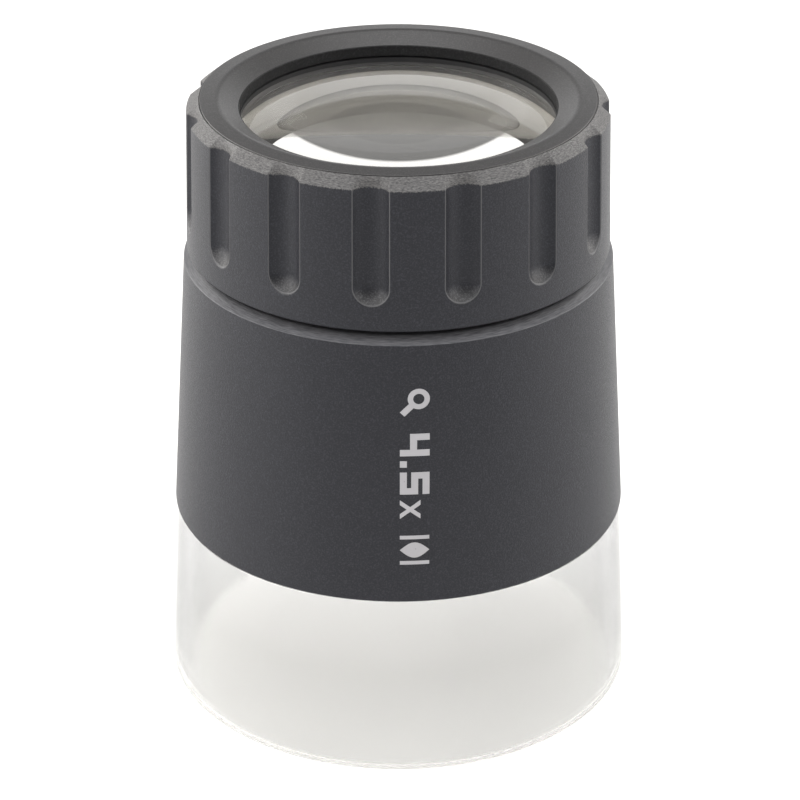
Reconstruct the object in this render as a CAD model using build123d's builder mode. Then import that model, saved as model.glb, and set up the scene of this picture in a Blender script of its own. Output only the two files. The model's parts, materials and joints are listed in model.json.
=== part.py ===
"""Stand loupe: a clear base skirt, a dark tapered housing and a fluted focusing ring with its lens unit.

Origin on the table at the middle of the base, +Z up along the optical axis, millimetres.
The focusing ring turns on the three-start thread of the neck collar and rises as it turns.
The ring carries the lens barrel, which hangs in it between two slip washers. Three dog-point
screws in the collar run in grooves of the barrel, so the lenses rise without turning.
"""
from build123d import *
import os
from math import cos, radians, sin, sqrt, tan

os.makedirs("parts", exist_ok=True)

# ---------------------------------------------------------------- driving dimensions
# Clear base skirt
SKIRT_FOOT_R = 27.5
SKIRT_TOP_R = 26.35
SKIRT_TOP_Z = 22.0
SKIRT_FOOT_BORE_R = 25.8
SKIRT_TOP_BORE_R = 24.5
SPIGOT_R = 25.3
SPIGOT_BORE_R = 24.3
SPIGOT_TOP_Z = 27.5
SNAP_BEAD_Z = 25.2
SNAP_BEAD_R = 0.45
SNAP_BEAD_RISE = 0.2

# Tapered housing
LIP_R = 26.65
LIP_Z = 22.15
SHOULDER_EDGE_R = 24.75
SHOULDER_EDGE_Z = 53.5
SHOULDER_ANGLE = 30.0
SHOULDER_FLAT_R = 23.5
SPIGOT_SEAT_R = 25.36
SPIGOT_SEAT_Z = 27.65
HOUSING_BORE_LOW_R = 24.2
HOUSING_BORE_R = 23.2
HOUSING_BORE_STRAIGHT_Z = 45.0
SHOULDER_UNDERSIDE_Z = 52.6
NECK_OPENING_R = 21.6

# Neck collar, lock ring and guide screws
COLLAR_FOOT_Z = 48.5
COLLAR_FLANGE_R = 23.12
NECK_R = 21.5
NECK_BORE_R = 20.0
NECK_TOP_Z = 66.9
THREAD_RELIEF_Z = 65.9
LOCK_RING_FOOT_Z = 46.2
LOCK_RING_BORE_R = 21.3
GUIDE_SCREW_Z = 50.9
GUIDE_SCREW_R = 1.25
GUIDE_DOG_R = 0.8
GUIDE_ANGLES = (60, 180, 300)

# Focusing thread, three starts
STARTS = 3
LEAD = 7.2
THREAD_ROOT_R = 20.9
THREAD_AXIS_R = 21.2
THREAD_CREST_GAP = 0.12
THREAD_FLANK_GAP = 0.12
RIDGE_TIP_HALF = 0.36
RIDGE_ROOT_HALF = 0.56
RIDGE_FOOT_Z = 57.8
RIDGE_RISE = 5.4

# Fluted focusing ring
RING_FOOT_Z = 54.85
RING_FOOT_R = 24.35
RING_SIDE_TOP_R = 23.95
RING_SIDE_TOP_Z = 71.4
RING_EDGE_R = 22.45
RING_EDGE_Z = 72.65
RING_FOOT_ROUND = 0.35
RING_BORE_R = 21.6
RING_LAND_Z = 67.1
RING_LAND_TOP_Z = 68.3
RING_LAND_BORE_R = 20.15
CHAMBER_R = 21.3
BEZEL_SEAT_Z = 70.35
BEZEL_SPIGOT_R = 21.8
BEZEL_FLANGE_Z = 71.7
FLUTES = 15
FLUTE_FIRST_ANGLE = -97.1
FLUTE_RADIUS = 2.5
FLUTE_DEPTH = 1.12
FLUTE_BALL_Z = 60.0

# Eye rim
RIM_CREST_R = 20.4
RIM_CREST_Z = 72.8
RIM_BORE_R = 17.95
RIM_BORE_TOP_Z = 71.6

# Lens barrel and the pieces that hang in it
BARREL_FOOT_Z = 41.0
BARREL_R = 19.92
BARREL_FLANGE_R = 21.2
BARREL_FLANGE_Z = 68.6
BARREL_TOP_Z = 70.1
LENS_SEAT_Z = 69.6
LENS_BORE_R = 18.3
GUIDE_GROOVE_HALF = 0.85
GUIDE_GROOVE_FLOOR_R = 19.2
GUIDE_GROOVE_TOP_Z = 52.3
CIRCLIP_Z = 41.6
CIRCLIP_THICKNESS = 0.8
CIRCLIP_BORE_R = 19.32
CIRCLIP_R = 20.9
CIRCLIP_GAP_HALF = 14
DAMPING_Z = 57.8
DAMPING_SECTION_R = 0.4

# Lenses
LENS_R = 18.25
CROWN_EDGE_TOP_Z = 69.48
CROWN_TOP_CURVE = 60.0
CEMENT_EDGE_Z = 63.4
CEMENT_CURVE = 60.0
FLINT_EDGE_FOOT_Z = 58.5
FLINT_FOOT_CURVE = 150.0
SPACER_BORE_R = 17.1
LOWER_EDGE_TOP_Z = 55.7
LOWER_EDGE_FOOT_Z = 54.1
LOWER_CURVE = 125.0
RETAINER_FOOT_Z = 51.5
RETAINER_BORE_R = 16.9

# Clearances inside one fixed group
FACE_GAP = 0.02


# ---------------------------------------------------------------- shared helpers
def sag(curve, radius):
    """Height of a spherical cap of the given curvature radius at the given rim radius."""
    return curve - sqrt(curve * curve - radius * radius)


def save(piece, name):
    """Label a finished piece and write its STEP file."""
    piece.label = name
    export_step(piece, f"parts/{name}.step")


def turned(points):
    """Solid of revolution about Z from (radius, height) corners."""
    with BuildPart() as body:
        with BuildSketch(Plane.XZ):
            with BuildLine():
                Polyline(*points, close=True)
            make_face()
        revolve(axis=Axis.Z)
    return body.part


def turned_lens(edge_r, top_edge_z, foot_edge_z, top_sag, foot_sag):
    """Lens about Z: spherical faces, positive sag bulges up on top and down at the foot."""
    top = (0, top_edge_z + top_sag)
    foot = (0, foot_edge_z - foot_sag)
    # A point half-way out on each spherical face fixes its arc.
    half = edge_r / 2
    with BuildPart() as lens:
        with BuildSketch(Plane.XZ):
            with BuildLine():
                Line(foot, top)
                ThreePointArc(top, (half, top_edge_z + cap_height(top_sag, edge_r, half)),
                              (edge_r, top_edge_z))
                Line((edge_r, top_edge_z), (edge_r, foot_edge_z))
                ThreePointArc((edge_r, foot_edge_z),
                              (half, foot_edge_z - cap_height(foot_sag, edge_r, half)), foot)
            make_face()
        revolve(axis=Axis.Z)
    return lens.part


def cap_height(cap_sag, edge_r, radius):
    """Height over its rim, at a radius, of the spherical cap with this sag and rim radius."""
    curve = (edge_r * edge_r + cap_sag * cap_sag) / (2 * abs(cap_sag))
    height = sqrt(curve * curve - radius * radius) - (curve - abs(cap_sag))
    return height if cap_sag > 0 else -height


def helical_bar(axis_r, foot_z, rise, inner, outer, inner_half, outer_half):
    """Bar of trapezoid section wound once about Z; inner and outer are radii about Z."""
    with BuildPart() as bar:
        with BuildLine() as path:
            helix = Helix(pitch=LEAD, height=rise, radius=axis_r, center=(0, 0, foot_z))
        with BuildSketch(Plane(origin=helix @ 0, x_dir=(1, 0, 0), z_dir=helix % 0)):
            with BuildLine():
                Polyline((inner - axis_r, -inner_half), (inner - axis_r, inner_half),
                         (outer - axis_r, outer_half), (outer - axis_r, -outer_half), close=True)
            make_face()
        sweep(path=helix, is_frenet=True)
    return bar.part


# ---------------------------------------------------------------- clear skirt
with BuildPart() as clear_skirt:
    with BuildSketch(Plane.XZ):
        with BuildLine():
            Polyline((SKIRT_FOOT_BORE_R, 0), (SKIRT_FOOT_R, 0), (SKIRT_TOP_R, SKIRT_TOP_Z),
                     (SPIGOT_R, SKIRT_TOP_Z), (SPIGOT_R, SPIGOT_TOP_Z),
                     (SPIGOT_BORE_R, SPIGOT_TOP_Z), (SKIRT_TOP_BORE_R, SKIRT_TOP_Z), close=True)
        make_face()
        # Low snap bead that clicks into the housing
        with Locations((SPIGOT_R + SNAP_BEAD_RISE - SNAP_BEAD_R, SNAP_BEAD_Z)):
            Circle(SNAP_BEAD_R)
    revolve(axis=Axis.Z)
    rims = clear_skirt.edges().filter_by(GeomType.CIRCLE)
    foot_rims = rims.group_by(Axis.Z)[0]
    fillet(foot_rims, 0.25)
    step_rim = clear_skirt.edges().filter_by(GeomType.CIRCLE).sort_by(SortBy.RADIUS)
    step_rim = step_rim.filter_by(lambda e: abs(e.center().Z - SKIRT_TOP_Z) < 0.01 and e.radius > 26)
    fillet(step_rim, 0.2)
save(clear_skirt.part, "clear_skirt")

# ---------------------------------------------------------------- housing
shoulder_flat_z = SHOULDER_EDGE_Z + (SHOULDER_EDGE_R - SHOULDER_FLAT_R) * tan(radians(SHOULDER_ANGLE))
with BuildPart() as housing:
    with BuildSketch(Plane.XZ):
        with BuildLine():
            Polyline((SPIGOT_SEAT_R, LIP_Z), (LIP_R, LIP_Z), (SHOULDER_EDGE_R, SHOULDER_EDGE_Z),
                     (SHOULDER_FLAT_R, shoulder_flat_z), (NECK_OPENING_R, shoulder_flat_z),
                     (NECK_OPENING_R, SHOULDER_UNDERSIDE_Z), (HOUSING_BORE_R, SHOULDER_UNDERSIDE_Z),
                     (HOUSING_BORE_R, HOUSING_BORE_STRAIGHT_Z), (HOUSING_BORE_LOW_R, SPIGOT_SEAT_Z),
                     (SPIGOT_SEAT_R, SPIGOT_SEAT_Z), close=True)
        make_face()
        # Snap groove for the bead of the skirt
        with Locations((SPIGOT_SEAT_R + SNAP_BEAD_RISE - SNAP_BEAD_R, SNAP_BEAD_Z)):
            Circle(SNAP_BEAD_R, mode=Mode.SUBTRACT)
    revolve(axis=Axis.Z)
    outer_rims = housing.edges().filter_by(GeomType.CIRCLE)
    lip_rim = outer_rims.filter_by(lambda e: abs(e.center().Z - LIP_Z) < 0.01 and e.radius > 26)
    fillet(lip_rim, 0.2)
    crown_rim = housing.edges().filter_by(GeomType.CIRCLE)
    crown_rim = crown_rim.filter_by(lambda e: abs(e.center().Z - SHOULDER_EDGE_Z) < 0.01)
    fillet(crown_rim, 0.12)
save(housing.part, "housing")

# ---------------------------------------------------------------- neck collar
# One start lower than the ridges of the ring, so that they share a phase
groove_foot_z = RIDGE_FOOT_Z - LEAD / STARTS
thread_groove = helical_bar(
    axis_r=THREAD_AXIS_R, foot_z=groove_foot_z, rise=NECK_TOP_Z - groove_foot_z,
    inner=THREAD_ROOT_R, outer=NECK_R + 0.5,
    inner_half=RIDGE_TIP_HALF + THREAD_FLANK_GAP,
    outer_half=RIDGE_ROOT_HALF + THREAD_FLANK_GAP + 0.17)
with BuildPart() as neck_collar:
    with BuildSketch(Plane.XZ):
        with BuildLine():
            Polyline((NECK_BORE_R, COLLAR_FOOT_Z), (COLLAR_FLANGE_R, COLLAR_FOOT_Z),
                     (COLLAR_FLANGE_R, SHOULDER_UNDERSIDE_Z - FACE_GAP),
                     (NECK_R, SHOULDER_UNDERSIDE_Z - FACE_GAP), (NECK_R, NECK_TOP_Z),
                     (NECK_BORE_R, NECK_TOP_Z), close=True)
        make_face()
    revolve(axis=Axis.Z)
    # Radial tapped holes for the guide screws
    for angle in GUIDE_ANGLES:
        direction = Vector(cos(radians(angle)), sin(radians(angle)), 0)
        hole_start = direction * (NECK_BORE_R - 1) + Vector(0, 0, GUIDE_SCREW_Z)
        with BuildSketch(Plane(origin=hole_start, z_dir=direction)):
            Circle(GUIDE_SCREW_R + FACE_GAP)
        extrude(amount=COLLAR_FLANGE_R - NECK_BORE_R + 2, mode=Mode.SUBTRACT)
    with PolarLocations(0, STARTS):
        add(thread_groove, mode=Mode.SUBTRACT)
    # Plain relief above the thread, where the ridges of the ring enter the grooves
    with BuildSketch(Plane.XY.offset(THREAD_RELIEF_Z)):
        Circle(NECK_R + 1)
        Circle(THREAD_ROOT_R - FACE_GAP, mode=Mode.SUBTRACT)
    extrude(amount=NECK_TOP_Z - THREAD_RELIEF_Z + 1, mode=Mode.SUBTRACT)
save(neck_collar.part, "neck_collar")

# ---------------------------------------------------------------- collar lock ring
with BuildPart() as collar_lock_ring:
    with BuildSketch(Plane.XY.offset(LOCK_RING_FOOT_Z)):
        Circle(COLLAR_FLANGE_R)
        Circle(LOCK_RING_BORE_R, mode=Mode.SUBTRACT)
    extrude(amount=COLLAR_FOOT_Z - FACE_GAP - LOCK_RING_FOOT_Z)
    # Four spanner notches in the lower face
    with BuildSketch(Plane.XY.offset(LOCK_RING_FOOT_Z)):
        with PolarLocations(LOCK_RING_BORE_R + 0.4, 4):
            Rectangle(2.0, 2.4)
    extrude(amount=1.0, mode=Mode.SUBTRACT)
save(collar_lock_ring.part, "collar_lock_ring")

# ---------------------------------------------------------------- guide screws
GUIDE_HEAD_OUT_R = 22.9
GUIDE_BODY_IN_R = 20.1
GUIDE_TIP_R = 19.32
with BuildPart() as guide_screws:
    for angle in GUIDE_ANGLES:
        direction = Vector(cos(radians(angle)), sin(radians(angle)), 0)
        lift = Vector(0, 0, GUIDE_SCREW_Z)
        with BuildSketch(Plane(origin=direction * GUIDE_BODY_IN_R + lift, z_dir=direction)):
            Circle(GUIDE_SCREW_R)
        extrude(amount=GUIDE_HEAD_OUT_R - GUIDE_BODY_IN_R)
        with BuildSketch(Plane(origin=direction * GUIDE_TIP_R + lift, z_dir=direction)):
            Circle(GUIDE_DOG_R)
        extrude(amount=GUIDE_BODY_IN_R - GUIDE_TIP_R + 0.5)
        # Hexagon socket in the outer end
        with BuildSketch(Plane(origin=direction * GUIDE_HEAD_OUT_R + lift, z_dir=direction)):
            RegularPolygon(0.65, 6, major_radius=False)
        extrude(amount=-1.1, mode=Mode.SUBTRACT)
save(guide_screws.part, "guide_screws")

# ---------------------------------------------------------------- fluted focusing ring
side_lean = -(RING_FOOT_R - RING_SIDE_TOP_R) / (RING_SIDE_TOP_Z - RING_FOOT_Z)
ring_mid_r = RING_FOOT_R + side_lean * (FLUTE_BALL_Z - RING_FOOT_Z)
flute_axis_r = ring_mid_r - FLUTE_DEPTH + FLUTE_RADIUS
flute_lean = Vector(side_lean, 0, 1).normalized()
flute_plane = Plane(origin=(flute_axis_r, 0, FLUTE_BALL_Z), x_dir=(0, 1, 0), z_dir=flute_lean)
with BuildPart() as flute_cutter:
    with BuildSketch(flute_plane):
        Circle(FLUTE_RADIUS)
    extrude(amount=16)
    with Locations((flute_axis_r, 0, FLUTE_BALL_Z)):
        Sphere(FLUTE_RADIUS)

thread_ridge = helical_bar(
    axis_r=THREAD_AXIS_R, foot_z=RIDGE_FOOT_Z, rise=RIDGE_RISE,
    inner=THREAD_ROOT_R + THREAD_CREST_GAP, outer=RING_BORE_R + 0.3,
    inner_half=RIDGE_TIP_HALF, outer_half=RIDGE_ROOT_HALF + 0.08)
with BuildPart() as focus_ring:
    with BuildSketch(Plane.XZ):
        with BuildLine():
            Polyline((RING_BORE_R, RING_FOOT_Z), (RING_FOOT_R, RING_FOOT_Z),
                     (RING_SIDE_TOP_R, RING_SIDE_TOP_Z), (RING_EDGE_R, RING_EDGE_Z),
                     (RING_EDGE_R, BEZEL_FLANGE_Z), (BEZEL_SPIGOT_R + 0.03, BEZEL_FLANGE_Z),
                     (BEZEL_SPIGOT_R + 0.03, BEZEL_SEAT_Z), (CHAMBER_R, BEZEL_SEAT_Z),
                     (CHAMBER_R, RING_LAND_TOP_Z), (RING_LAND_BORE_R, RING_LAND_TOP_Z),
                     (RING_LAND_BORE_R, RING_LAND_Z), (RING_BORE_R, RING_LAND_Z), close=True)
        make_face()
    revolve(axis=Axis.Z)
    foot_rim = focus_ring.edges().filter_by(GeomType.CIRCLE).group_by(Axis.Z)[0]
    fillet(foot_rim.filter_by(lambda e: e.radius > 24), RING_FOOT_ROUND)
    with PolarLocations(0, FLUTES, start_angle=FLUTE_FIRST_ANGLE):
        add(flute_cutter.part, mode=Mode.SUBTRACT)
    with PolarLocations(0, STARTS):
        add(thread_ridge)
save(focus_ring.part, "focus_ring")

# ---------------------------------------------------------------- eye rim
with BuildPart() as eye_rim:
    with BuildSketch(Plane.XZ):
        with BuildLine():
            Polyline((RIM_BORE_R, BEZEL_SEAT_Z + FACE_GAP), (BEZEL_SPIGOT_R, BEZEL_SEAT_Z + FACE_GAP),
                     (BEZEL_SPIGOT_R, BEZEL_FLANGE_Z + FACE_GAP),
                     (RING_EDGE_R - 0.03, BEZEL_FLANGE_Z + FACE_GAP),
                     (RING_EDGE_R - 0.03, RING_EDGE_Z), (RIM_CREST_R, RIM_CREST_Z),
                     (RIM_BORE_R, RIM_BORE_TOP_Z), close=True)
        make_face()
    revolve(axis=Axis.Z)
    crest = eye_rim.edges().filter_by(GeomType.CIRCLE).group_by(Axis.Z)[-1]
    fillet(crest, 1.2)
    throat = eye_rim.edges().filter_by(GeomType.CIRCLE)
    throat = throat.filter_by(lambda e: abs(e.center().Z - RIM_BORE_TOP_Z) < 0.01)
    fillet(throat, 0.2)
save(eye_rim.part, "eye_rim")

# ---------------------------------------------------------------- slip washers
with BuildPart() as lower_slip_washer:
    with BuildSketch(Plane.XY.offset(RING_LAND_TOP_Z + FACE_GAP)):
        Circle(CHAMBER_R - 0.06)
        Circle(RING_LAND_BORE_R, mode=Mode.SUBTRACT)
    extrude(amount=BARREL_FLANGE_Z - RING_LAND_TOP_Z - 2 * FACE_GAP)
save(lower_slip_washer.part, "lower_slip_washer")

with BuildPart() as upper_slip_washer:
    with BuildSketch(Plane.XY.offset(BARREL_TOP_Z + FACE_GAP)):
        Circle(CHAMBER_R - 0.06)
        Circle(RIM_BORE_R + 0.9, mode=Mode.SUBTRACT)
    extrude(amount=BEZEL_SEAT_Z - BARREL_TOP_Z - 2 * FACE_GAP)
save(upper_slip_washer.part, "upper_slip_washer")

# ---------------------------------------------------------------- lens barrel
with BuildPart() as lens_barrel:
    with BuildSketch(Plane.XZ):
        with BuildLine():
            Polyline((LENS_BORE_R, BARREL_FOOT_Z), (BARREL_R, BARREL_FOOT_Z),
                     (BARREL_R, BARREL_FLANGE_Z), (BARREL_FLANGE_R, BARREL_FLANGE_Z),
                     (BARREL_FLANGE_R, BARREL_TOP_Z), (RIM_BORE_R, BARREL_TOP_Z),
                     (RIM_BORE_R, LENS_SEAT_Z), (LENS_BORE_R, LENS_SEAT_Z), close=True)
        make_face()
    revolve(axis=Axis.Z)
    # Groove for the circlip and groove for the damping ring
    with BuildSketch(Plane.XZ):
        with Locations((BARREL_R, CIRCLIP_Z + CIRCLIP_THICKNESS / 2)):
            Rectangle(2 * (BARREL_R - CIRCLIP_BORE_R) + 2 * FACE_GAP, CIRCLIP_THICKNESS + 2 * FACE_GAP)
        with Locations((BARREL_R, DAMPING_Z)):
            Rectangle(1.5, 2 * DAMPING_SECTION_R + 0.3)
    revolve(axis=Axis.Z, mode=Mode.SUBTRACT)
    # Guide grooves, open at the foot
    with BuildSketch(Plane.XY.offset(BARREL_FOOT_Z)):
        with PolarLocations(GUIDE_GROOVE_FLOOR_R + 1, STARTS, start_angle=GUIDE_ANGLES[0]):
            Rectangle(2, 2 * GUIDE_GROOVE_HALF)
    extrude(amount=GUIDE_GROOVE_TOP_Z - BARREL_FOOT_Z, mode=Mode.SUBTRACT)
save(lens_barrel.part, "lens_barrel")

# ---------------------------------------------------------------- barrel circlip
gap_corner = (30 * cos(radians(CIRCLIP_GAP_HALF)), 30 * sin(radians(CIRCLIP_GAP_HALF)))
with BuildPart() as barrel_circlip:
    with BuildSketch(Plane.XY.offset(CIRCLIP_Z)):
        Circle(CIRCLIP_R)
        Circle(CIRCLIP_BORE_R, mode=Mode.SUBTRACT)
        # Wedge-shaped opening of the split ring
        with BuildLine():
            Polyline((0, 0), gap_corner, (gap_corner[0], -gap_corner[1]), close=True)
        make_face(mode=Mode.SUBTRACT)
    extrude(amount=CIRCLIP_THICKNESS)
save(barrel_circlip.part, "barrel_circlip")

# ---------------------------------------------------------------- damping ring
with BuildPart() as damping_ring:
    with Locations((0, 0, DAMPING_Z)):
        Torus(NECK_BORE_R - 0.03 - DAMPING_SECTION_R, DAMPING_SECTION_R)
save(damping_ring.part, "damping_ring")

# ---------------------------------------------------------------- lenses
crown_lens = turned_lens(LENS_R, CROWN_EDGE_TOP_Z, CEMENT_EDGE_Z,
                         sag(CROWN_TOP_CURVE, LENS_R), sag(CEMENT_CURVE, LENS_R))
save(crown_lens, "crown_lens")

flint_lens = turned_lens(LENS_R, CEMENT_EDGE_Z - FACE_GAP, FLINT_EDGE_FOOT_Z,
                         -sag(CEMENT_CURVE, LENS_R), sag(FLINT_FOOT_CURVE, LENS_R))
save(flint_lens, "flint_lens")

lower_lens = turned_lens(LENS_R, LOWER_EDGE_TOP_Z, LOWER_EDGE_FOOT_Z,
                         sag(LOWER_CURVE, LENS_R), sag(LOWER_CURVE, LENS_R))
save(lower_lens, "lower_lens")

# The spacer touches both lenses along its bore edge, where their faces stand proud of their rims
flint_proud = sag(FLINT_FOOT_CURVE, LENS_R) - sag(FLINT_FOOT_CURVE, SPACER_BORE_R)
lower_proud = sag(LOWER_CURVE, LENS_R) - sag(LOWER_CURVE, SPACER_BORE_R)
spacer_foot_z = LOWER_EDGE_TOP_Z + lower_proud + FACE_GAP
spacer_top_z = FLINT_EDGE_FOOT_Z - flint_proud - FACE_GAP
lens_spacer = turned([(SPACER_BORE_R, spacer_foot_z), (LENS_R, spacer_foot_z),
                      (LENS_R, spacer_top_z), (SPACER_BORE_R, spacer_top_z)])
save(lens_spacer, "lens_spacer")

# ---------------------------------------------------------------- lens retainer
# It presses on the lower lens along its own bore edge
retainer_proud = sag(LOWER_CURVE, LENS_R) - sag(LOWER_CURVE, RETAINER_BORE_R)
retainer_top_z = LOWER_EDGE_FOOT_Z - retainer_proud - FACE_GAP
with BuildPart() as lens_retainer:
    with BuildSketch(Plane.XY.offset(RETAINER_FOOT_Z)):
        Circle(LENS_R)
        Circle(RETAINER_BORE_R, mode=Mode.SUBTRACT)
    extrude(amount=retainer_top_z - RETAINER_FOOT_Z)
    # Two spanner slots
    with BuildSketch(Plane.XY.offset(RETAINER_FOOT_Z)):
        Rectangle(2 * LENS_R + 1, 1.5)
    extrude(amount=1.2, mode=Mode.SUBTRACT)
save(lens_retainer.part, "lens_retainer")
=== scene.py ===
"""Looks of the stand loupe: smooth shells, fluted ring, real lenses and the studio around them.

Lengths of the loupe are in millimetres and turned to metres by MM where a mesh is made; those of
the studio at the end are in metres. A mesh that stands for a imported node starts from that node's
own box, so it can't drift from the frame.
"""
import bmesh
import bpy
import json
import math
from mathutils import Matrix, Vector


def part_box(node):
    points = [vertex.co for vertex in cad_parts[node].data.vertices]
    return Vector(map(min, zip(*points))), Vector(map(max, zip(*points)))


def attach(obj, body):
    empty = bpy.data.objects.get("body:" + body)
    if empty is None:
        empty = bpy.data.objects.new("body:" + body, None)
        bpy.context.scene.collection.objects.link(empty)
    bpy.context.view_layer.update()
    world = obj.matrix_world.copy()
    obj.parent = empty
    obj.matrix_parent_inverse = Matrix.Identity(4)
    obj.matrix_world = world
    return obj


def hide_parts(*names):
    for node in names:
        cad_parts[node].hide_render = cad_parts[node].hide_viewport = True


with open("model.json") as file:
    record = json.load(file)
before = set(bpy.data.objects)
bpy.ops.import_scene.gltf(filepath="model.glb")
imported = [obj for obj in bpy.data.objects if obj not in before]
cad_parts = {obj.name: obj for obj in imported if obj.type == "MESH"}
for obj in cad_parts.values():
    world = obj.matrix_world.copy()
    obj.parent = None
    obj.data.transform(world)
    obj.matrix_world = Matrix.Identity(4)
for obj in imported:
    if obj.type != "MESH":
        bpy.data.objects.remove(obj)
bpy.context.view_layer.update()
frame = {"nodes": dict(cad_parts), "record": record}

MM = 0.001


# ------------------------------------------------------------------ main sizes
def node_box(node):
    """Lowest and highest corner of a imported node, in millimetres."""
    low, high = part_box(node)
    return low / MM, high / MM


SKIRT_HIGH = node_box("clear_skirt")[1]
HOUSING_LOW, HOUSING_HIGH = node_box("housing")
RING_LOW, RING_HIGH = node_box("focus_ring")
RIM_LOW = node_box("eye_rim")[0]
SKIRT_STEP_Z = 22.0
RING_FOOT_R = 24.35
RING_SIDE_TOP = (23.95, 71.4)
FLUTES = 15
FLUTE_FIRST = -97.1
FLUTE_RADIUS = 2.5
FLUTE_DEPTH = 1.12
FLUTE_BALL_Z = 60.0
FLUTE_HALF_WIDTH = 2.05
RIM_BORE_R = 17.95
LIP_BLACK_Z = 68.4


# ------------------------------------------------------------------ mesh helpers
AROUND = 288
ON_AXIS = 1e-6
ROUND_STEPS = 5
# The most of a straight stretch that the rounding of one corner may take
ROUND_SHARE = 0.49
# Distance of the loop beside a rounding, and the most of what is left straight that it may take
GUARD_MM = 0.04
GUARD_SHARE = 0.3


def corner_arc(before, corner, after, radius):
    """Points that round one corner of an outline with an arc of the given radius."""
    a = Vector(before) - Vector(corner)
    b = Vector(after) - Vector(corner)
    half = a.angle(b) / 2
    reach = min(radius / math.tan(half), ROUND_SHARE * a.length, ROUND_SHARE * b.length)
    start = Vector(corner) + a.normalized() * reach
    end = Vector(corner) + b.normalized() * reach
    true_radius = reach * math.tan(half)
    inwards = (a.normalized() + b.normalized()).normalized()
    centre = Vector(corner) + inwards * (true_radius / math.sin(half))
    points = []
    for i in range(ROUND_STEPS + 1):
        chord = start.lerp(end, i / ROUND_STEPS) - centre
        points.append(centre + chord.normalized() * true_radius)
    # One more loop just outside each end keeps the flat faces next to the arc flat in shading
    guard = min(true_radius / 4, GUARD_MM)
    points.insert(0, start + a.normalized() * min(guard, GUARD_SHARE * (a.length - reach)))
    points.append(end + b.normalized() * min(guard, GUARD_SHARE * (b.length - reach)))
    return [(p.x, p.y) for p in points]


def rounded(outline):
    """Closed outline of (r, z, round) corners as plain (r, z) points."""
    points = []
    count = len(outline)
    for i, (r, z, radius) in enumerate(outline):
        if radius <= 0:
            points.append((r, z))
            continue
        before = outline[i - 1][:2]
        after = outline[(i + 1) % count][:2]
        points.extend(corner_arc(before, (r, z), after, radius))
    return points


def new_object(name, vertices, faces, smooth=True):
    mesh = bpy.data.meshes.new(name)
    mesh.from_pydata(vertices, [], faces)
    mesh.validate()
    shell = bmesh.new()
    shell.from_mesh(mesh)
    bmesh.ops.recalc_face_normals(shell, faces=shell.faces)
    shell.to_mesh(mesh)
    shell.free()
    mesh.polygons.foreach_set("use_smooth", [smooth] * len(mesh.polygons))
    mesh.update()
    piece = bpy.data.objects.new(name, mesh)
    bpy.context.scene.collection.objects.link(piece)
    return piece


def lathe(name, points):
    """Closed (r, z) outline in millimetres turned about Z. Points on the axis become poles."""
    vertices = []
    rows = []
    for r, z in points:
        if r < ON_AXIS:
            rows.append([len(vertices)] * AROUND)
            vertices.append((0, 0, z * MM))
            continue
        row = []
        for i in range(AROUND):
            angle = 2 * math.pi * i / AROUND
            row.append(len(vertices))
            vertices.append((r * math.cos(angle) * MM, r * math.sin(angle) * MM, z * MM))
        rows.append(row)
    faces = []
    for j in range(len(rows)):
        low = rows[j]
        high = rows[(j + 1) % len(rows)]
        if low[0] == low[1] and high[0] == high[1]:
            continue
        for i in range(AROUND):
            k = (i + 1) % AROUND
            corners = [low[i], low[k], high[k], high[i]]
            faces.append([c for n, c in enumerate(corners) if c not in corners[:n]])
    return new_object(name, vertices, faces)


# ------------------------------------------------------------------ node helpers
# How far a ragged border wanders, as a share of the upward part of a normal
RAGGED_SHARE = 0.30


class Nodes:
    """Short calls that add nodes to a tree and link them."""

    def __init__(self, tree, space):
        self.tree = tree
        self.coords = self.node("ShaderNodeTexCoord").outputs[space]

    def node(self, kind, **settings):
        made = self.tree.nodes.new(kind)
        for key, value in settings.items():
            setattr(made, key, value)
        return made

    def link(self, source, target):
        self.tree.links.new(source, target)

    def axes(self, vector):
        """The three parts of a vector."""
        split = self.node("ShaderNodeSeparateXYZ")
        self.link(vector, split.inputs["Vector"])
        return split.outputs["X"], split.outputs["Y"], split.outputs["Z"]

    def math(self, operation, first, second=None):
        made = self.node("ShaderNodeMath", operation=operation)
        for index, value in enumerate((first, second)):
            if value is None:
                continue
            if isinstance(value, (int, float)):
                made.inputs[index].default_value = value
            else:
                self.link(value, made.inputs[index])
        return made.outputs["Value"]

    def ramp(self, factor, low, high, start=0.0, end=1.0):
        """Map a factor between two values or colours."""
        ramp = self.node("ShaderNodeValToRGB")
        ramp.color_ramp.elements[0].position = start
        ramp.color_ramp.elements[1].position = end
        ramp.color_ramp.elements[0].color = low if isinstance(low, tuple) else (low, low, low, 1)
        ramp.color_ramp.elements[1].color = high if isinstance(high, tuple) else (high, high, high, 1)
        self.link(factor, ramp.inputs["Fac"])
        return ramp.outputs["Color"]

    def mask(self, factor, start, end):
        """Nought where the factor is below start and one where it is above end."""
        return self.ramp(factor, 0.0, 1.0, start, end)


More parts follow.
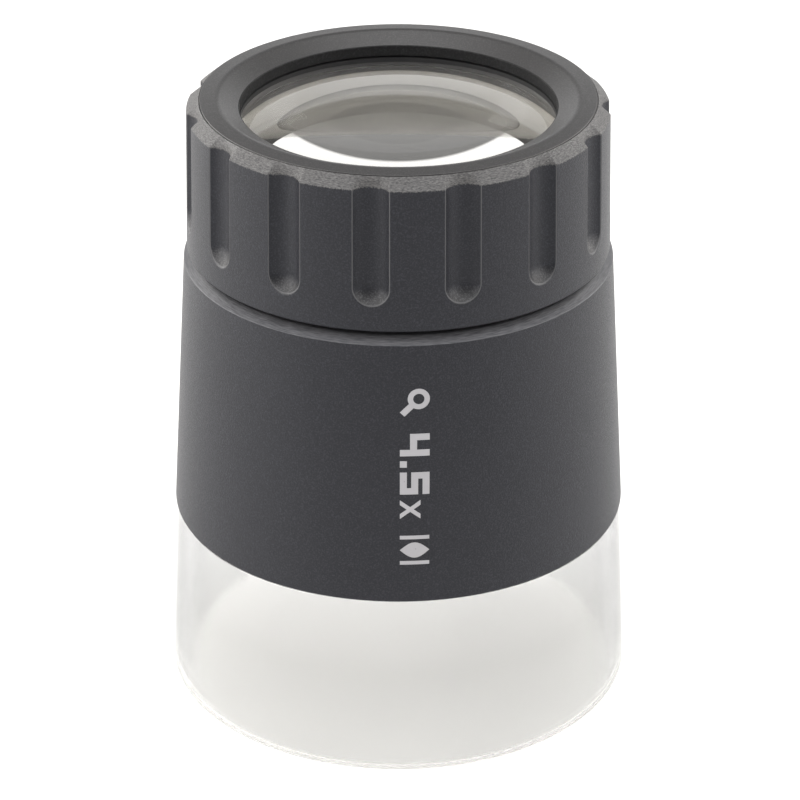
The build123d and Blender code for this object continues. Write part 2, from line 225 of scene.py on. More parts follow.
class Material(Nodes):
    """A node material with one Principled shader and short calls for what feeds it."""

    def __init__(self, name, color, roughness, **sockets):
        self.data = bpy.data.materials.new(name)
        self.data.use_nodes = True
        super().__init__(self.data.node_tree, "Object")
        self.shader = self.tree.nodes["Principled BSDF"]
        self.output = self.tree.nodes["Material Output"]
        self.set(Base_Color=(*color, 1), Roughness=roughness, **sockets)

    def set(self, **sockets):
        """Give sockets of the shader fixed values."""
        for socket, value in sockets.items():
            self.shader.inputs[socket.replace("_", " ")].default_value = value

    def feed(self, socket, source):
        self.link(source, self.shader.inputs[socket])

    def noise(self, lump_mm, detail=4.0, roughness=0.55, stretch=(1, 1, 1)):
        """Noise with lumps of about lump_mm."""
        mapping = self.node("ShaderNodeMapping")
        mapping.inputs["Scale"].default_value = stretch
        self.link(self.coords, mapping.inputs["Vector"])
        texture = self.node("ShaderNodeTexNoise")
        texture.inputs["Scale"].default_value = 1 / (lump_mm * MM)
        texture.inputs["Detail"].default_value = detail
        texture.inputs["Roughness"].default_value = roughness
        self.link(mapping.outputs["Vector"], texture.inputs["Vector"])
        return texture.outputs["Fac"]

    def around_noise(self, along_mm, across_mm, detail):
        """Noise drawn out around the axis: along_mm long, across_mm high. Its seam is at the back."""
        x, y, z = self.axes(self.coords)
        turn = self.math("ARCTAN2", x, self.math("MULTIPLY", y, -1))
        reach = self.node("ShaderNodeVectorMath", operation="LENGTH")
        flat = self.node("ShaderNodeCombineXYZ")
        self.link(x, flat.inputs["X"])
        self.link(y, flat.inputs["Y"])
        self.link(flat.outputs["Vector"], reach.inputs[0])
        place = self.node("ShaderNodeCombineXYZ")
        self.link(self.math("MULTIPLY", turn, RING_FOOT_R / along_mm), place.inputs["X"])
        self.link(self.math("MULTIPLY", reach.outputs["Value"], 1 / (across_mm * MM)), place.inputs["Y"])
        self.link(self.math("MULTIPLY", z, 1 / (across_mm * MM)), place.inputs["Z"])
        texture = self.node("ShaderNodeTexNoise")
        texture.inputs["Scale"].default_value = 1.0
        texture.inputs["Detail"].default_value = detail
        self.link(place.outputs["Vector"], texture.inputs["Vector"])
        return texture.outputs["Fac"]

    def mix(self, factor, first, second):
        made = self.node("ShaderNodeMix", data_type="RGBA")
        self.link(factor, made.inputs["Factor"])
        for name, value in (("A", first), ("B", second)):
            socket = [s for s in made.inputs if s.name == name and s.type == "RGBA"][0]
            if isinstance(value, tuple):
                socket.default_value = value
            else:
                self.link(value, socket)
        return [s for s in made.outputs if s.type == "RGBA"][0]

    def bump(self, height, depth_mm):
        """Bump whose full height is depth_mm."""
        made = self.node("ShaderNodeBump")
        made.inputs["Strength"].default_value = 1.0
        made.inputs["Distance"].default_value = depth_mm * MM
        self.link(height, made.inputs["Height"])
        return made.outputs["Normal"]

    def height_z(self):
        """Height over the table in millimetres."""
        return self.math("MULTIPLY", self.axes(self.coords)[2], 1 / MM)

    def looking_up(self, ragged, start, end):
        """One on faces that look up and nought on the others, with a ragged border between them."""
        up = self.axes(self.node("ShaderNodeNewGeometry").outputs["Normal"])[2]
        lifted = self.math("ADD", up, self.math("MULTIPLY", ragged, RAGGED_SHARE))
        return self.mask(lifted, start, end)

    def grained(self, color, grain):
        """Faintly clouded colour with paler tips on the grain."""
        cloud = self.noise(9, 3.0, 0.5)
        clouded = self.mix(cloud, shade_of(color, 0.90), shade_of(color, 1.12))
        return self.mix(self.mask(grain, 0.48, 0.68), clouded, shade_of(color, 2.3))

    def polished_tips(self, roughness, grain):
        """Roughness that is a little lower on the tips of the grain."""
        return self.ramp(grain, roughness + 0.06, roughness - 0.05, 0.3, 0.7)


def grey(value, warm=0.0):
    return (value * (1 + warm), value, value * (1 - warm), 1)


def shade_of(color, amount):
    return tuple(c * amount for c in color[:3]) + (1,)


def moulded_plastic(name, color, roughness, grain_mm, grain_depth_mm, **sockets):
    """Spark-eroded moulded plastic: fine grain, faint clouding, slightly polished grain tips."""
    made = Material(name, color[:3], roughness, **sockets)
    grain = made.noise(grain_mm, 3.0, 0.6)
    made.feed("Base Color", made.grained(color, grain))
    made.feed("Roughness", made.polished_tips(roughness, grain))
    made.feed("Normal", made.bump(grain, grain_depth_mm))
    return made


def clear_body(name, tint, ior, roughness, shadow_tint):
    """Clear solid whose shadow is light: straight shadow rays pass with a tint."""
    made = Material(name, tint, roughness, Transmission_Weight=1.0, IOR=ior)
    path = made.node("ShaderNodeLightPath")
    through = made.node("ShaderNodeBsdfTransparent")
    through.inputs["Color"].default_value = (*shadow_tint, 1)
    mix = made.node("ShaderNodeMixShader")
    made.link(path.outputs["Is Shadow Ray"], mix.inputs["Fac"])
    made.link(made.shader.outputs["BSDF"], mix.inputs[1])
    made.link(through.outputs["BSDF"], mix.inputs[2])
    made.link(mix.outputs["Shader"], made.output.inputs["Surface"])
    return made


# ------------------------------------------------------------------ plastics
CHARCOAL = (0.0096, 0.0098, 0.0122, 1)
RIM_CHARCOAL = (0.019, 0.0183, 0.0185, 1)
INNER_BLACK = (0.009, 0.009, 0.00945, 1)
GRAIN_MM = 0.18
GRAIN_DEPTH = 0.036
CUT_DEPTH = 0.06
SATIN = 0.42
SATIN_SHINE = 0.30
COOL_SHINE = (0.93, 0.945, 1.0, 1)
# Painted light: the housing's upward shoulder is coloured far paler than the sides, with rub streaks
# between these two tones
RUBS_AND_SHEEN_DARK = (0.036, 0.036, 0.040, 1)
RUBS_AND_SHEEN_PALE = (0.078, 0.078, 0.083, 1)
# Cutter marks on the ring's chamfer, painted pale: painted light from the top lamp on the streaks
CUT_AND_SHEEN_DARK = (0.030, 0.029, 0.029, 1)
CUT_AND_SHEEN_PALE = (0.112, 0.109, 0.107, 1)
CUT_BORDER_MM = 0.5
# Painted light: the upward ball ends of the flutes are coloured paler than the sides
FLUTE_END_PAINTED_LIGHT = (0.028, 0.0275, 0.028, 1)
# Painted highlight along the flute edges
FLUTE_EDGE_HIGHLIGHT = (0.065, 0.065, 0.067, 1)


def satin_plastic(name):
    """The dark plastic that the housing and the ring start from, and its grain."""
    made = Material(name, CHARCOAL[:3], SATIN, Specular_IOR_Level=SATIN_SHINE, Specular_Tint=COOL_SHINE)
    return made, made.noise(GRAIN_MM, 3.0, 0.6)


def housing_material():
    """Satin sides and a smoother shoulder whose upward faces are painted paler: painted light, with rub
    streaks in it.
    """
    made, grain = satin_plastic("housing_plastic")
    rubs = made.around_noise(along_mm=1.2, across_mm=0.10, detail=3.0)
    border = made.around_noise(along_mm=0.3, across_mm=0.5, detail=2.0)
    shoulder = made.looking_up(border, 0.40, 0.60)
    # Painted light: faces that look up on the shoulder get this pale, streaked colour in place of the
    # charcoal, standing in for the lamps above
    rubs_and_sheen = made.mix(made.mask(rubs, 0.35, 0.65), RUBS_AND_SHEEN_DARK, RUBS_AND_SHEEN_PALE)
    made.feed("Base Color", made.mix(shoulder, made.grained(CHARCOAL, grain), rubs_and_sheen))
    made.feed("Roughness", made.mix(shoulder, made.polished_tips(SATIN, grain), grey(0.34)))
    made.feed("Normal", made.bump(made.mix(shoulder, grain, made.ramp(rubs, 0.0, 0.4)), GRAIN_DEPTH))
    return made.data


def flute_edges(made):
    """One on a thin line along the edge of every flute and around its ball end, nought elsewhere: where
    the painted highlight goes.
    """
    x, y, _ = made.axes(made.coords)
    turn = made.math("ARCTAN2", y, x)
    pitch = 2 * math.pi / FLUTES
    steps = made.math("DIVIDE", made.math("SUBTRACT", turn, math.radians(FLUTE_FIRST)), pitch)
    from_middle = made.math("SUBTRACT", made.math("FRACT", made.math("ADD", steps, 0.5)), 0.5)
    side = made.math("MULTIPLY", from_middle, pitch * RING_FOOT_R)
    below = made.math("MINIMUM", made.math("SUBTRACT", made.height_z(), FLUTE_BALL_Z), 0.0)
    squares = made.math("ADD", made.math("MULTIPLY", side, side), made.math("MULTIPLY", below, below))
    gap = made.math("ABSOLUTE", made.math("SUBTRACT", made.math("SQRT", squares), FLUTE_HALF_WIDTH))
    return made.ramp(gap, 1.0, 0.0, 0.02, 0.08)


def ring_material():
    """Satin sides, flute ends painted paler and a painted highlight along the flute edges, both painted
    light, and coarse cutter marks on the chamfer, painted pale as painted light.
    """
    made, grain = satin_plastic("ring_plastic")
    streaks = made.around_noise(along_mm=0.34, across_mm=0.11, detail=4.0)
    border = made.around_noise(along_mm=0.15, across_mm=0.4, detail=2.0)
    over_side = made.math("SUBTRACT", made.height_z(), RING_SIDE_TOP[1])
    cut_from = made.math("ADD", over_side, made.math("MULTIPLY", border, CUT_BORDER_MM))
    coarse = made.mask(cut_from, 0.15, 0.28)
    # The chamfer's streaks are painted far paler than the sides: real cutter marks carrying painted light
    cut_and_sheen = made.mix(made.mask(streaks, 0.32, 0.68), CUT_AND_SHEEN_DARK, CUT_AND_SHEEN_PALE)
    # Painted light: faces that look up, the ball ends of the flutes, are coloured paler as if lit from
    # above
    lit_ends = made.looking_up(grain, 0.30, 0.80)
    side = made.mix(lit_ends, made.grained(CHARCOAL, grain), made.grained(FLUTE_END_PAINTED_LIGHT, grain))
    # Painted highlight: a thin pale line along every flute edge and around its ball end
    side = made.mix(flute_edges(made), side, FLUTE_EDGE_HIGHLIGHT)
    made.feed("Base Color", made.mix(coarse, side, cut_and_sheen))
    made.feed("Roughness", made.mix(coarse, made.polished_tips(SATIN, grain), grey(0.5)))
    height = made.mix(coarse, made.ramp(grain, 0.0, GRAIN_DEPTH / CUT_DEPTH), streaks)
    made.feed("Normal", made.bump(height, CUT_DEPTH))
    return made.data


def rim_material():
    return moulded_plastic("rim_plastic", RIM_CHARCOAL, 0.36, grain_mm=0.16, grain_depth_mm=0.005).data


def inner_material():
    """Dull black of the pieces inside and of the bore of the eye rim."""
    return moulded_plastic(
        "inner_plastic", INNER_BLACK, 0.75, grain_mm=0.25, grain_depth_mm=0.008, Specular_IOR_Level=0.2
    ).data


def slip_material():
    made = Material("slip_plastic", (0.82, 0.81, 0.78), 0.5)
    grain = made.noise(0.4)
    made.feed("Base Color", made.mix(grain, (0.76, 0.75, 0.71, 1), (0.86, 0.85, 0.82, 1)))
    made.feed("Normal", made.bump(grain, 0.004))
    return made.data


def rubber_material():
    made = Material("damping_rubber", (0.018, 0.018, 0.018), 0.35)
    grain = made.noise(0.3)
    made.feed("Roughness", made.ramp(grain, 0.25, 0.5))
    made.feed("Normal", made.bump(grain, 0.006))
    return made.data


def ink_material():
    """Pale pad-printed ink, a little thin and worn here and there."""
    made = Material("pale_ink", (0.31, 0.30, 0.32), 0.45)
    wear = made.noise(0.35, 3.0, 0.65)
    film = made.noise(3, 2.0, 0.5)
    body = made.mix(film, (0.28, 0.275, 0.29, 1), (0.34, 0.335, 0.35, 1))
    made.feed("Base Color", made.mix(made.mask(wear, 0.70, 0.80), body, (0.12, 0.12, 0.125, 1)))
    made.feed("Normal", made.bump(wear, 0.006))
    return made.data


# ------------------------------------------------------------------ clear materials
ACRYLIC = (0.725, 0.725, 0.722)
ACRYLIC_IOR = 1.49
ACRYLIC_DARK = (0.71, 0.71, 0.707, 1)
ACRYLIC_PALE = (0.74, 0.74, 0.737, 1)
# Painted light: a paler tint under the housing's lip
ACRYLIC_LIP_PAINTED_LIGHT = (0.86, 0.862, 0.865, 1)
# Painted shade: a darker tint on faces seen at a slant, along the sides of the skirt
ACRYLIC_SLANTED_SHADE = (0.50, 0.505, 0.50, 1)
ACRYLIC_SHINE = (0.45, 0.45, 0.45, 1)
LENS_TINT = (0.99, 0.985, 0.975)
CROWN_IOR = 1.517
FLINT_IOR = 1.62
# Coatings dim the reflections; the flint lens of the pair gives none
OUTER_COATING = (0.07, 0.07, 0.09, 1)
INNER_COATING = (0.0, 0.0, 0.0, 1)


def acrylic_material():
    """Slightly hazed acrylic, scuffed matt on its foot; its tint is painted paler under the housing's lip
    as painted light, and darker at a slant as painted shade.
    """
    made = clear_body("clear_acrylic", ACRYLIC, ACRYLIC_IOR, 0.1, shadow_tint=(0.93, 0.93, 0.92))
    made.set(Specular_Tint=ACRYLIC_SHINE)
    height = made.height_z()
    scuffs = made.noise(0.5, 2.0, 0.5, stretch=(1, 1, 14))
    haze = made.ramp(scuffs, 0.10, 0.18, 0.60, 0.80)
    foot = made.ramp(height, 1.0, 0.0, 0.12, 0.30)
    made.feed("Roughness", made.mix(foot, haze, grey(0.6)))
    # Painted light: the tint grows paler towards the top, under the housing's lip
    lip = made.mask(made.math("DIVIDE", height, SKIRT_STEP_Z), 0.55, 1.0)
    body = made.mix(made.noise(14, 2.0, 0.5), ACRYLIC_DARK, ACRYLIC_PALE)
    clear = made.mix(lip, body, ACRYLIC_LIP_PAINTED_LIGHT)
    # Painted shade: faces seen at a slant, along the sides of the skirt, get a darker tint
    slanted_shade = made.mask(made.node("ShaderNodeLayerWeight").outputs["Facing"], 0.52, 0.95)
    made.feed("Base Color", made.mix(slanted_shade, clear, ACRYLIC_SLANTED_SHADE))
    return made.data


def glass_material(name, ior, coating):
    """Coated optical glass with a few specks of dust."""
    made = clear_body(name, LENS_TINT, ior, 0.0, shadow_tint=(0.92, 0.92, 0.91))
    made.set(Specular_Tint=coating)
    dust = made.noise(0.25, 1.0, 0.5)
    made.feed("Roughness", made.ramp(dust, 0.0, 0.06, 0.82, 0.86))
    return made.data


def ground_edge_material(name, value):
    """Rim of a lens, ground with coarse emery and wiped with paint."""
    made = Material(name, (value, value, value * 0.97), 0.8)
    pits = made.noise(0.2, 3.0, 0.6)
    paint = made.noise(5, 3.0, 0.6)
    color = grey(value, 0.02)
    speckled = made.mix(paint, shade_of(color, 0.8), shade_of(color, 1.15))
    made.feed("Base Color", made.mix(made.ramp(pits, 0.0, 0.6, 0.6, 0.85), speckled, shade_of(color, 1.6)))
    made.feed("Normal", made.bump(pits, 0.01))
    return made.data


# ------------------------------------------------------------------ metals
BORE_DARK = (0.45, 0.435, 0.41, 1)
BORE_PALE = (0.50, 0.485, 0.46, 1)
LIP_BLACK = (0.008, 0.008, 0.009, 1)


def barrel_material():
    """Bright turned bore; the lip over the lenses and the flange are blacked."""
    made = Material("barrel_metal", (0.5, 0.49, 0.47), 0.45)
    marks = made.noise(0.12, 2.0, 0.5, stretch=(0.06, 0.06, 1))
    stain = made.noise(5, 3.0, 0.6)
    bright = made.mix(stain, BORE_DARK, BORE_PALE)
    lip = made.mask(made.math("SUBTRACT", made.height_z(), LIP_BLACK_Z), 0.0, 0.02)
    made.feed("Base Color", made.mix(lip, bright, LIP_BLACK))
    made.feed("Roughness", made.mix(lip, made.ramp(marks, 0.38, 0.55), grey(0.75)))
    made.feed("Normal", made.bump(marks, 0.004))
    return made.data


def metal_material(name, color, roughness):
    """Turned metal: fine circular tool marks and a little staining."""
    made = Material(name, color[:3], roughness, Metallic=1.0)
    marks = made.noise(0.08, 2.0, 0.5, stretch=(0.08, 0.08, 1))
    stain = made.noise(4, 3.0, 0.6)
    made.feed("Base Color", made.mix(stain, shade_of(color, 0.85), shade_of(color, 1.1)))
    made.feed("Roughness", made.ramp(marks, roughness - 0.08, roughness + 0.1))
    made.feed("Normal", made.bump(marks, 0.003))
    return made.data


MATERIALS = {
    "clear_acrylic": acrylic_material(),
    "housing_plastic": housing_material(),
    "ring_plastic": ring_material(),
    "rim_plastic": rim_material(),
    "inner_plastic": inner_material(),
    "barrel_metal": barrel_material(),
    "screw_steel": metal_material("screw_steel", (0.10, 0.10, 0.11, 1), 0.4),
    "clip_steel": metal_material("clip_steel", (0.45, 0.44, 0.42, 1), 0.35),
    "slip_plastic": slip_material(),
    "damping_rubber": rubber_material(),
    "crown_glass": glass_material("crown_glass", CROWN_IOR, OUTER_COATING),
    "flint_glass": glass_material("flint_glass", FLINT_IOR, INNER_COATING),
}
SLOT_OF = {part["node"]: part["material_slot"] for part in frame["record"]["subparts"]}

for node_name, node_object in frame["nodes"].items():
    node_object.data.materials.clear()
    node_object.data.materials.append(MATERIALS[SLOT_OF[node_name]])


def stands_for(piece, node, body):
    """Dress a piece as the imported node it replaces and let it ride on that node's body."""
    piece.data.materials.append(MATERIALS[SLOT_OF[node]])
    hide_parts(node)
    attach(piece, body)
    return piece


# ------------------------------------------------------------------ clear skirt
SKIRT_FOOT_R = SKIRT_HIGH.x
SKIRT_TOP_R = 26.35
SKIRT_FOOT_BORE_R = 25.8
SPIGOT_R = 25.3
SPIGOT_BORE_R = 24.3
SKIRT_STEP_BORE_R = 24.5


def make_skirt():
    outline = [
        (SKIRT_FOOT_BORE_R, 0, 0.25), (SKIRT_FOOT_R, 0, 0.25), (SKIRT_TOP_R, SKIRT_STEP_Z, 0.2),
        (SPIGOT_R, SKIRT_STEP_Z, 0.1), (SPIGOT_R, SKIRT_HIGH.z, 0.15),
        (SPIGOT_BORE_R, SKIRT_HIGH.z, 0.15), (SKIRT_STEP_BORE_R, SKIRT_STEP_Z, 0),
    ]
    stands_for(lathe("skirt_shell", rounded(outline)), "clear_skirt", "housing")


# ------------------------------------------------------------------ housing
LIP_R = 26.65
SHOULDER_EDGE = (24.75, 53.5)
SHOULDER_FLAT_R = 23.5
TOP_BORE_R = 21.6
CEILING_Z = 52.6
CHAMBER_R = 23.2
CHAMBER_FOOT_Z = 45.0
SOCKET_R = 25.36
SOCKET_STEP = (24.2, 27.65)


def make_housing():
    top_z = HOUSING_HIGH.z
    outline = [
        (SOCKET_R, HOUSING_LOW.z, 0.1), (LIP_R, HOUSING_LOW.z, 0.2), (*SHOULDER_EDGE, 0.15),
        (SHOULDER_FLAT_R, top_z, 0.4), (TOP_BORE_R, top_z, 0.15), (TOP_BORE_R, CEILING_Z, 0),
        (CHAMBER_R, CEILING_Z, 0.2), (CHAMBER_R, CHAMBER_FOOT_Z, 0),
        (*SOCKET_STEP, 0.1), (SOCKET_R, SOCKET_STEP[1], 0.1),
    ]
    stands_for(lathe("housing_shell", rounded(outline)), "housing", "housing")


# ------------------------------------------------------------------ print on the housing
PRINT_TOP_Z = 48.4
PRINT_HEIGHT = 3.3
PRINT_SPACE = 2.1
PRINT_LEFT = 0.15
PRINT_STROKE = 0.78
PRINT_LIFT = 0.015
PRINT_GRID = 0.5
CIRCLE_STEPS = 40
MAGNIFIER_R = 0.37 * PRINT_HEIGHT
MAGNIFIER_BAND = 0.6
HANDLE_HALF = 0.36
HANDLE_OVERLAP = 0.06
FIGURE_WIDTH = 2.7
FIGURE_GAP = 0.6
CROSSBAR_SHARE = 0.34
CROSS_SIZE = 2.3
CROSS_GAP = 0.7
RULE_WIDTH = 0.45
LENS_SIGN_WIDTH = 3.6
LENS_SIGN_BULGE = 0.95
LENS_SIGN_STEPS = 14


def housing_radius(z):
    """Outer radius of the housing's cone at a height."""
    t = (z - HOUSING_LOW.z) / (SHOULDER_EDGE[1] - HOUSING_LOW.z)
    return LIP_R + (SHOULDER_EDGE[0] - LIP_R) * t


def bar(u0, v0, u1, v1):
    """Upright rectangle of a printed sign; u runs down the housing and v to the right."""
    return [(u0, v0), (u1, v0), (u1, v1), (u0, v1)]


def ring_quads(u, v, outer, inner):
    quads = []
    for i in range(CIRCLE_STEPS):
        a = 2 * math.pi * i / CIRCLE_STEPS
        b = 2 * math.pi * (i + 1) / CIRCLE_STEPS
        quads.append([(u + outer * math.cos(a), v + outer * math.sin(a)),
                      (u + outer * math.cos(b), v + outer * math.sin(b)),
                      (u + inner * math.cos(b), v + inner * math.sin(b)),
                      (u + inner * math.cos(a), v + inner * math.sin(a))])
    return quads


def magnifier_sign():
    """A ring with a slanted handle."""
    middle = Vector((MAGNIFIER_R, PRINT_HEIGHT - MAGNIFIER_R))
    along = Vector((1, -1)).normalized()
    side = Vector((1, 1)).normalized() * HANDLE_HALF
    start = middle + along * (MAGNIFIER_R - HANDLE_OVERLAP)
    end = middle + along * (math.sqrt(2) * middle.y - side.length)
    handle = [tuple(corner) for corner in (start - side, end - side, end + side, start + side)]
    return ring_quads(*middle, MAGNIFIER_R, MAGNIFIER_R - MAGNIFIER_BAND) + [handle]


def number_sign(u):
    """The plain figures 4.5 and a cross, drawn with straight bars."""
    s = PRINT_STROKE
    h = PRINT_HEIGHT
    w = FIGURE_WIDTH
    middle = h * CROSSBAR_SHARE
    quads = [
        # 4: left stroke, crossbar, right stroke above and below the crossbar
        bar(u, middle + s, u + s, h), bar(u, middle, u + w - s, middle + s),
        bar(u + w - s, 0, u + w, h),
    ]
    u += w + FIGURE_GAP
    quads.append(bar(u, 0, u + s, s))
    u += s + FIGURE_GAP
    waist = h * 0.5 - s / 2
    quads += [
        # 5: top bar, upper left, waist, lower right, bottom bar
        bar(u, h - s, u + w, h), bar(u, waist + s, u + s, h - s), bar(u, waist, u + w, waist + s),
        bar(u + w - s, s, u + w, waist), bar(u, 0, u + w, s),
    ]
    u += w + CROSS_GAP
    c = CROSS_SIZE
    d = s * 0.75
    low_joint = c * (c - 2 * d) / (2 * (c - d))
    quads += [
        # Cross: one whole stroke and two halves that meet it
        [(u, 0), (u + d, 0), (u + c, c), (u + c - d, c)],
        [(u + c - d, 0), (u + c, 0), (u + (c + d) / 2, c / 2), (u + c / 2, low_joint)],
        [(u, c), (u + d, c), (u + c / 2, c - low_joint), (u + (c - d) / 2, c / 2)],
    ]
    return quads, u + c


def lens_sign(u):
    """Side view of a lens between two short rules."""
    h = PRINT_HEIGHT
    end = u + LENS_SIGN_WIDTH
    middle = u + LENS_SIGN_WIDTH / 2
    quads = [bar(u, 0, u + RULE_WIDTH, h), bar(end - RULE_WIDTH, 0, end, h)]
    for i in range(LENS_SIGN_STEPS):
        v0 = h * i / LENS_SIGN_STEPS
        v1 = h * (i + 1) / LENS_SIGN_STEPS
        w0 = LENS_SIGN_BULGE * math.sin(math.pi * v0 / h)
        w1 = LENS_SIGN_BULGE * math.sin(math.pi * v1 / h)
        quads.append([(middle - w0, v0), (middle + w0, v0), (middle + w1, v1), (middle - w1, v1)])
    return quads


def wrapped(u, v, lift):
    """Point of the sign on the housing's cone."""
    z = PRINT_TOP_Z - u
    radius = housing_radius(z) + lift
    turn = (PRINT_LEFT + v) / radius
    return (radius * math.sin(turn) * MM, -radius * math.cos(turn) * MM, z * MM)


def make_print():
    """Generic sign in thin pale ink: a magnifier, a power and a lens, read from top to bottom."""
    number, number_end = number_sign(PRINT_HEIGHT + PRINT_SPACE)
    vertices = []
    faces = []
    for quad in magnifier_sign() + number + lens_sign(number_end + PRINT_SPACE):
        reach = max(abs(quad[end][1] - quad[start][1]) for start, end in ((0, 1), (1, 2), (0, 3)))
        cuts = max(1, math.ceil(reach / PRINT_GRID))
        layers = []
        for lift in (-PRINT_LIFT, PRINT_LIFT):
            rows = []
            for j in range(cuts + 1):
                row = []
                for i in range(cuts + 1):
                    a = Vector(quad[0]).lerp(Vector(quad[1]), i / cuts)
                    b = Vector(quad[3]).lerp(Vector(quad[2]), i / cuts)
                    at = a.lerp(b, j / cuts)
                    row.append(len(vertices))
                    vertices.append(wrapped(at.x, at.y, lift))
                rows.append(row)
            layers.append(rows)
        under, over = layers
        for j in range(cuts):
            for i in range(cuts):
                faces.append((over[j][i], over[j][i + 1], over[j + 1][i + 1], over[j + 1][i]))
                faces.append((under[j][i], under[j + 1][i], under[j + 1][i + 1], under[j][i + 1]))
        rim = [(0, i) for i in range(cuts)] + [(i, cuts) for i in range(cuts)]
        rim += [(cuts, i) for i in range(cuts, 0, -1)] + [(i, 0) for i in range(cuts, 0, -1)]
        for n, (j, i) in enumerate(rim):
            j2, i2 = rim[(n + 1) % len(rim)]
            faces.append((under[j][i], under[j2][i2], over[j2][i2], over[j][i]))
    sign = new_object("housing_print", vertices, faces, smooth=False)
    sign.data.materials.append(ink_material())
    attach(sign, "housing")


# ------------------------------------------------------------------ fluted ring
FLUTE_EDGE_ROUND = 0.14
RING_EDGE = (22.45, RING_HIGH.z)
RING_BORE_R = 21.6
RIM_STEP_Z = 71.7
RIM_SOCKET = (21.83, 70.35)
NECK_R = 21.3
LEDGE_R = 20.15
LEDGE_LOW_Z = 67.1
LEDGE_HIGH_Z = 68.3
# Rows are finely cut beyond the first radius, and flutes are sunk beyond the second
FINE_FROM_R = 22.6
SUNK_FROM_R = 22.5
SUNK_FROM_FOOT = 1
ROW_MM = 0.11
FLUTE_BAND_HALF = 2.35
FLUTE_COLUMNS = 62
GAP_COLUMNS = 10


def make_ring():
    foot_z = RING_LOW.z
    lean = (RING_SIDE_TOP[0] - RING_FOOT_R) / (RING_SIDE_TOP[1] - foot_z)
    outline = rounded([
        (RING_BORE_R, foot_z, 0.2), (RING_FOOT_R, foot_z, 0.35), (*RING_SIDE_TOP, 0.12),
        (*RING_EDGE, 0.08), (RING_EDGE[0], RIM_STEP_Z, 0), (RIM_SOCKET[0], RIM_STEP_Z, 0),
        (*RIM_SOCKET, 0), (NECK_R, RIM_SOCKET[1], 0), (NECK_R, LEDGE_HIGH_Z, 0.1),
        (LEDGE_R, LEDGE_HIGH_Z, 0.1), (LEDGE_R, LEDGE_LOW_Z, 0.1), (RING_BORE_R, LEDGE_LOW_Z, 0.1),
    ])
    # The outside is cut into fine rows so that the flutes can be sunk in it
    fine = []
    for i, point in enumerate(outline):
        following = outline[(i + 1) % len(outline)]
        fine.append(point)
        outside = min(point[0], following[0]) > FINE_FROM_R and min(point[1], following[1]) > foot_z
        if not outside:
            continue
        cuts = int(math.dist(point, following) / ROW_MM)
        for n in range(1, cuts):
            t = n / cuts
            fine.append(tuple(a + (b - a) * t for a, b in zip(point, following)))
    # Columns: close together across each flute, wider between flutes
    pitch = 360 / FLUTES
    half_band = math.degrees(FLUTE_BAND_HALF / RING_FOOT_R)
    angles = []
    for k in range(FLUTES):
        centre = FLUTE_FIRST + k * pitch
        for n in range(FLUTE_COLUMNS):
            angles.append(centre - half_band + 2 * half_band * n / FLUTE_COLUMNS)
        gap_start = centre + half_band
        gap = pitch - 2 * half_band
        for n in range(GAP_COLUMNS):
            angles.append(gap_start + gap * n / GAP_COLUMNS)

    def flute_floor(offset_deg, z):
        """Radius of the flute's surface on the ray at this angle from its middle, or None."""
        lift = max(FLUTE_BALL_Z - z, 0)
        if lift >= FLUTE_RADIUS:
            return None
        axis_r = RING_FOOT_R + lean * (max(z, FLUTE_BALL_Z) - foot_z) - FLUTE_DEPTH + FLUTE_RADIUS
        cut = math.sqrt(FLUTE_RADIUS ** 2 - lift ** 2)
        side = axis_r * math.sin(math.radians(offset_deg))
        if abs(side) >= cut:
            return None
        return axis_r * math.cos(math.radians(offset_deg)) - math.sqrt(cut * cut - side * side)

    def sunk(r, angle, z):
        """Ring radius with the nearest flute cut in and its edge rounded."""
        if r < SUNK_FROM_R or z < foot_z + SUNK_FROM_FOOT:
            return r
        offset = (angle - FLUTE_FIRST + pitch / 2) % pitch - pitch / 2
        floor = flute_floor(offset, z)
        if floor is None:
            return r
        blend = max(FLUTE_EDGE_ROUND - abs(r - floor), 0) / FLUTE_EDGE_ROUND
        return min(r, floor) - blend * blend * FLUTE_EDGE_ROUND / 4

    vertices = []
    count = len(angles)
    for r, z in fine:
        for angle in angles:
            radius = sunk(r, angle, z)
            turn = math.radians(angle)
            vertices.append((radius * math.cos(turn) * MM, radius * math.sin(turn) * MM, z * MM))
    faces = []
    rows = len(fine)
    for j in range(rows):
        for i in range(count):
            k = (i + 1) % count
            up = (j + 1) % rows
            faces.append((j * count + i, j * count + k, up * count + k, up * count + i))
    stands_for(new_object("ring_shell", vertices, faces), "focus_ring", "focus_ring")


# ------------------------------------------------------------------ eye rim
RIM_SLEEVE_R = 21.8
RIM_FLANGE_R = 22.42
RIM_FLANGE_LOW_Z = 71.72
RIM_FLANGE_HIGH_Z = 72.65
RIM_CREST = (20.4, 72.8)
RIM_MOUTH_Z = 71.6
# Faces this near to the bore are blacked
BLACKED_BAND = 0.1


def make_rim():
    outline = [
        (RIM_BORE_R, RIM_LOW.z, 0.05), (RIM_SLEEVE_R, RIM_LOW.z, 0.1),
        (RIM_SLEEVE_R, RIM_FLANGE_LOW_Z, 0), (RIM_FLANGE_R, RIM_FLANGE_LOW_Z, 0),
        (RIM_FLANGE_R, RIM_FLANGE_HIGH_Z, 0.1), (*RIM_CREST, 1.2), (RIM_BORE_R, RIM_MOUTH_Z, 0.15),
    ]
    rim = stands_for(lathe("rim_shell", rounded(outline)), "eye_rim", "focus_ring")
    rim.data.materials.append(MATERIALS["inner_plastic"])
    for face in rim.data.polygons:
        across = Vector((face.center.x, face.center.y)).length
        if across < (RIM_BORE_R + BLACKED_BAND) * MM:
            face.material_index = 1


